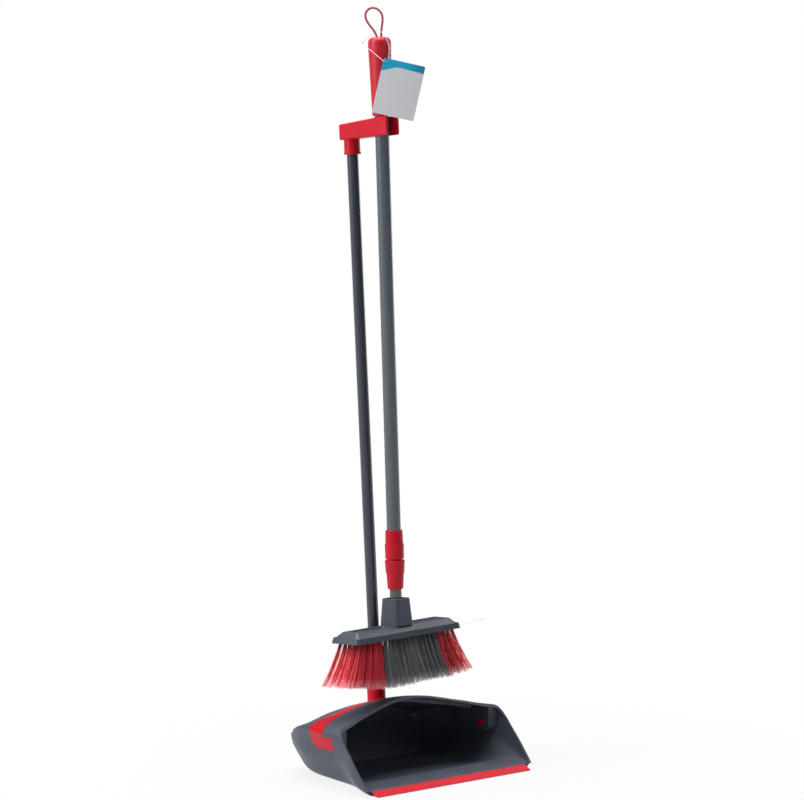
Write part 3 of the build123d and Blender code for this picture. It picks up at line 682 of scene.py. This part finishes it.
def bristles(name, first, last, material, seed):
    """One colour field: its slice of the bed and the strands of its tufts."""
    chance = np.random.default_rng(seed)
    vertices = [bed_slice(first, last)]
    faces = list(BED_FACES)
    start = len(vertices[0])
    along = [np.zeros(start)]
    shade = [np.full(start, BED_PAINTED_SHADE)]
    for column in range(first, last):
        middle = (column + 0.5 - TUFT_COLUMNS / 2) * TUFT_PITCH
        slope = FAN_SLOPE if middle > FAN_CENTRE else LEFT_FAN_SLOPE
        reach = np.interp(middle, REACH_PLACES, REACHES)
        for row in range(TUFT_ROWS):
            behind = (row + 0.5 - TUFT_ROWS / 2) * ROW_PITCH
            foot = np.array([middle, behind])
            lean = np.array([(middle - FAN_CENTRE) * slope, behind * FAN_BACK])
            # Inner tufts take the painted shade level; each tuft and strand also varies at random.
            outer = row in (0, TUFT_ROWS - 1) or column in (0, TUFT_COLUMNS - 1)
            tuft_tone_and_painted_shade = (OUTER_SHADE if outer else INNER_PAINTED_SHADE) + 0.25 * chance.random()
            tuft_bend = chance.normal(0, 0.8, 2)
            for _ in range(STRANDS):
                vertices.append(strand_points(chance, foot, lean, tuft_bend, reach))
                along.append(np.repeat(ring_steps, SIDES))
                shade.append(np.full(RINGS * SIDES, np.clip(tuft_tone_and_painted_shade + chance.normal(0, 0.16), 0, 1)))
                faces += strand_faces(start)
                start += RINGS * SIDES
    world = np.concatenate(vertices) @ broom_basis + broom_origin
    made = mesh_object(name, world, faces, material, smooth=False)
    for key, values in (("along", along), ("shade", shade)):
        attribute = made.data.attributes.new(key, "FLOAT", "POINT")
        attribute.data.foreach_set("value", np.concatenate(values).astype(np.float32))
    return made


FIELDS = [
    ("bristles_left", 0, 5, red_bristle, "red_bristle", 11),
    ("bristles_middle", 5, 16, grey_bristle, "grey_bristle", 12),
    ("bristles_right", 16, 20, red_bristle, "red_bristle", 13),
]
for node, first, last, material, slot, seed in FIELDS:
    field = bristles(node + "_strands", first, last, material, seed)
    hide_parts(node)
    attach(field, "broom_lower")

# A loose filament caught at the right end of the bristles
HAIR_ROUTE = [(84, -14, -608.5), (100, -22, -607.5), (112, -28, -605.0), (124, -34, -602.0)]
HAIR_RADIUS = 0.0002
hair_points = [on_broom(*place) for place in HAIR_ROUTE]
hair_rings, hair_faces, _, _ = tube_rings(hair_points, [HAIR_RADIUS] * len(hair_points), 5)
hair = mesh_object("loose_filament", hair_rings, hair_faces, clear_material)
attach(hair, "broom_lower")


# Hanging loop: three strands laid round the cord's line

LOOP_DIAMETER = 2.9
LOOP_FULLNESS = 0.33
LOOP_STRANDS = 3
LOOP_PITCH = 0.009
LOOP_POINTS = [
    (-2.2, -6.3),
    (-2.2, 3.0),
    (-14.6, 18.5),
    (-16.8, 28.0),
    (-11.2, 35.4),
    (-2.2, 35.0),
    (4.2, 27.8),
    (4.6, 19.0),
    (2.2, 8.0),
    (2.2, -6.3),
]


def nurbs_line(points, resolution):
    """Points read along the smooth curve that a route's points control."""
    curve = bpy.data.curves.new("route", "CURVE")
    curve.dimensions = "3D"
    curve.resolution_u = resolution
    spline = curve.splines.new("NURBS")
    spline.points.add(len(points) - 1)
    for point, place in zip(spline.points, points):
        point.co = (*place, 1.0)
    spline.order_u = 3
    spline.use_endpoint_u = True
    holder = bpy.data.objects.new("route", curve)
    bpy.context.scene.collection.objects.link(holder)
    bpy.context.view_layer.update()
    mesh = bpy.data.meshes.new_from_object(holder)
    line = np.array([v.co for v in mesh.vertices], float)
    bpy.data.objects.remove(holder)
    bpy.data.curves.remove(curve)
    bpy.data.meshes.remove(mesh)
    return line


def laid_rope(name, line, diameter, strands, pitch, material):
    """A rope of strands wound round a line at a steady pitch."""
    strand_radius = diameter * LOOP_FULLNESS
    offset = diameter / 2 - strand_radius
    travelled = np.concatenate([[0], np.cumsum(np.linalg.norm(np.diff(line, axis=0), axis=1))])
    _, _, normals, binormals = tube_rings(line, [offset] * len(line), 3)
    vertices = []
    faces = []
    for strand in range(strands):
        phase = 2 * math.pi * (travelled / pitch + strand / strands)
        path = line + offset * (np.cos(phase)[:, None] * normals + np.sin(phase)[:, None] * binormals)
        rings, made, _, _ = tube_rings(path, [strand_radius] * len(path), 8)
        faces += [tuple(i + len(vertices) for i in face) for face in made]
        vertices += list(rings)
    return mesh_object(name, vertices, faces, material)


route = [grip_point + (loop_across * x + broom_up * y) * MM for x, y in LOOP_POINTS]
loop_line = nurbs_line(route, 24)
loop_diameter = LOOP_DIAMETER * MM
loop = laid_rope("hanging_loop_rope", loop_line, loop_diameter, LOOP_STRANDS, LOOP_PITCH, yarn_material)
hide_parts("hanging_loop")
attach(loop, "broom_upper")


# Swing tag: a card with a slight curl, a punched hole and a plain band

TAG_WIDTH = 50.8
TAG_LENGTH = 66.3
TAG_THICKNESS = 0.5
TAG_HOLE = 1.9
TAG_HOLE_INSET = 3.6
TAG_CORNER = 1.5
TAG_COLUMNS = 24
TAG_ROWS = 30
TAG_CURL = 0.9


def swing_tag():
    """A thin card with round corners and a hole at its upper left, as a grid on each face and a rim."""
    columns = TAG_COLUMNS
    rows = TAG_ROWS
    corner = TAG_CORNER
    hole = (-TAG_WIDTH / 2 + TAG_HOLE_INSET, TAG_LENGTH / 2 - TAG_HOLE_INSET)
    vertices = []
    shares = []
    for side in (1, -1):
        for i in range(columns + 1):
            for j in range(rows + 1):
                x = (i / columns - 0.5) * TAG_WIDTH
                y = (j / rows - 0.5) * TAG_LENGTH
                over_x = max(abs(x) - (TAG_WIDTH / 2 - corner), 0)
                over_y = max(abs(y) - (TAG_LENGTH / 2 - corner), 0)
                reach = math.hypot(over_x, over_y)
                if reach > corner:
                    x -= math.copysign(over_x * (1 - corner / reach), x)
                    y -= math.copysign(over_y * (1 - corner / reach), y)
                shares.append((x / TAG_WIDTH + 0.5, y / TAG_LENGTH + 0.5))
                curl = TAG_CURL * (2 * x / TAG_WIDTH) ** 2 - 0.5
                vertices.append(on_tag(x, y, side * TAG_THICKNESS / 2 - curl * 0.6))
    layer = (columns + 1) * (rows + 1)

    def at(i, j, back=0):
        return back * layer + i * (rows + 1) + j

    faces = []
    for i in range(columns):
        for j in range(rows):
            x = ((i + 0.5) / columns - 0.5) * TAG_WIDTH
            y = ((j + 0.5) / rows - 0.5) * TAG_LENGTH
            if math.hypot(x - hole[0], y - hole[1]) < TAG_HOLE:
                continue
            faces.append((at(i, j), at(i + 1, j), at(i + 1, j + 1), at(i, j + 1)))
            faces.append((at(i, j + 1, 1), at(i + 1, j + 1, 1), at(i + 1, j, 1), at(i, j, 1)))
    edges = {}
    for face in faces:
        for edge in zip(face, face[1:] + face[:1]):
            edges[edge] = True
    for a, b in edges:
        if a < layer and b < layer and (b, a) not in edges:
            faces.append((b, a, a + layer, b + layer))
    made = mesh_object("swing_tag", vertices, faces, printed_card, smooth=False)
    uv = made.data.uv_layers.new(name="card")
    for loop_data in made.data.loops:
        uv.data[loop_data.index].uv = shares[loop_data.vertex_index]
    return made


tag = swing_tag()
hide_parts("tag_card")
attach(tag, "broom_upper")

# The tie's lock: a small clear barrel and bar at the left of the grip
TIE_STATIONS = (-3.4, -3.0, -0.4, 0.0, 3.8, 5.6)
TIE_RADII = (0.0004, 0.0011, 0.0011, 0.0006, 0.0005, 0.0003)
tie_middle = grip_point + (sideways * -19.0 + outward * 2.0 - UP * 5.6) * MM
tie_run = (sideways * 0.75 + UP * 0.66).normalized()
tie_points = [tie_middle + tie_run * d * MM for d in TIE_STATIONS]
tie_rings, tie_faces, _, _ = tube_rings(tie_points, TIE_RADII, 8)
tie_lock = mesh_object("tie_lock", tie_rings, tie_faces, clear_material)
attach(tie_lock, "broom_upper")


# Floor, backdrop and light

def stage_material():
    """Pale floor that the camera, reflections and clear pieces see as nearly white, with a soft shadow."""
    shader = Shader("floor")
    shader.bsdf.inputs["Base Color"].default_value = (0.62, 0.62, 0.62, 1)
    shader.bsdf.inputs["Roughness"].default_value = 0.9
    shader.bsdf.inputs["Specular IOR Level"].default_value = 0.0
    glow = shader.node("ShaderNodeEmission")
    path = shader.node("ShaderNodeLightPath")
    seen = shader.combined("MAXIMUM", path.outputs["Is Camera Ray"], path.outputs["Is Glossy Ray"])
    through = shader.combined("MAXIMUM", seen, path.outputs["Is Transmission Ray"])
    place = shader.node("ShaderNodeTexCoord")
    distance = shader.node("ShaderNodeVectorMath", operation="LENGTH")
    shader.link(place.outputs["Object"], distance.inputs[0])
    share = shader.spread(distance.outputs["Value"], 0.82, 1.0, 0.15, 0.6)
    amount = shader.combined("MULTIPLY", through, share)
    mix = shader.node("ShaderNodeMixShader")
    shader.link(amount, mix.inputs["Fac"])
    shader.link(shader.bsdf.outputs["BSDF"], mix.inputs[1])
    shader.link(glow.outputs["Emission"], mix.inputs[2])
    shader.link(mix.outputs["Shader"], shader.tree.nodes["Material Output"].inputs["Surface"])
    return shader.material


FLOOR_HALF = 60
floor_corners = [(x * FLOOR_HALF, y * FLOOR_HALF, 0) for x, y in SQUARE]
floor = mesh_object("floor", floor_corners, [(0, 1, 2, 3)], stage_material(), smooth=False)

world = bpy.data.worlds.new("studio")
bpy.context.scene.world = world
world.use_nodes = True
tree = world.node_tree
tree.nodes.clear()
output = tree.nodes.new("ShaderNodeOutputWorld")
ambient = tree.nodes.new("ShaderNodeBackground")
ambient.inputs["Color"].default_value = (0.93, 0.96, 1.0, 1)
ambient.inputs["Strength"].default_value = 0.11
backdrop = tree.nodes.new("ShaderNodeBackground")
backdrop.inputs["Color"].default_value = (1, 1, 1, 1)
backdrop.inputs["Strength"].default_value = 1.0
light_path = tree.nodes.new("ShaderNodeLightPath")
shown = tree.nodes.new("ShaderNodeMath")
shown.operation = "MAXIMUM"
tree.links.new(light_path.outputs["Is Camera Ray"], shown.inputs[0])
tree.links.new(light_path.outputs["Is Transmission Ray"], shown.inputs[1])
choice = tree.nodes.new("ShaderNodeMixShader")
tree.links.new(shown.outputs["Value"], choice.inputs["Fac"])
tree.links.new(ambient.outputs["Background"], choice.inputs[1])
tree.links.new(backdrop.outputs["Background"], choice.inputs[2])
tree.links.new(choice.outputs["Shader"], output.inputs["Surface"])


def softbox(name, side, toward, height, size, power, aim=0.35):
    """A rectangular soft light placed by how far right of, behind and above the object's foot it stands."""
    data = bpy.data.lights.new(name, "AREA")
    data.shape = "RECTANGLE"
    data.size = size[0]
    data.size_y = size[1]
    data.energy = power
    made = bpy.data.objects.new(name, data)
    bpy.context.scene.collection.objects.link(made)
    place = look_right * side + ahead * toward + UP * height
    made.location = place
    made.rotation_mode = "QUATERNION"
    made.rotation_quaternion = (place - UP * aim).to_track_quat("Z", "Y")
    return made


softbox("top_light", -0.3, 0.3, 2.4, (1.8, 1.8), 60.0, 0.1)
softbox("key_light", -2.0, -0.8, 1.7, (0.9, 1.6), 48.0)
softbox("fill_light", 1.7, -1.2, 1.9, (0.6, 1.2), 7.0)
softbox("rim_light", 1.2, 1.4, 1.1, (0.5, 1.6), 10.0)
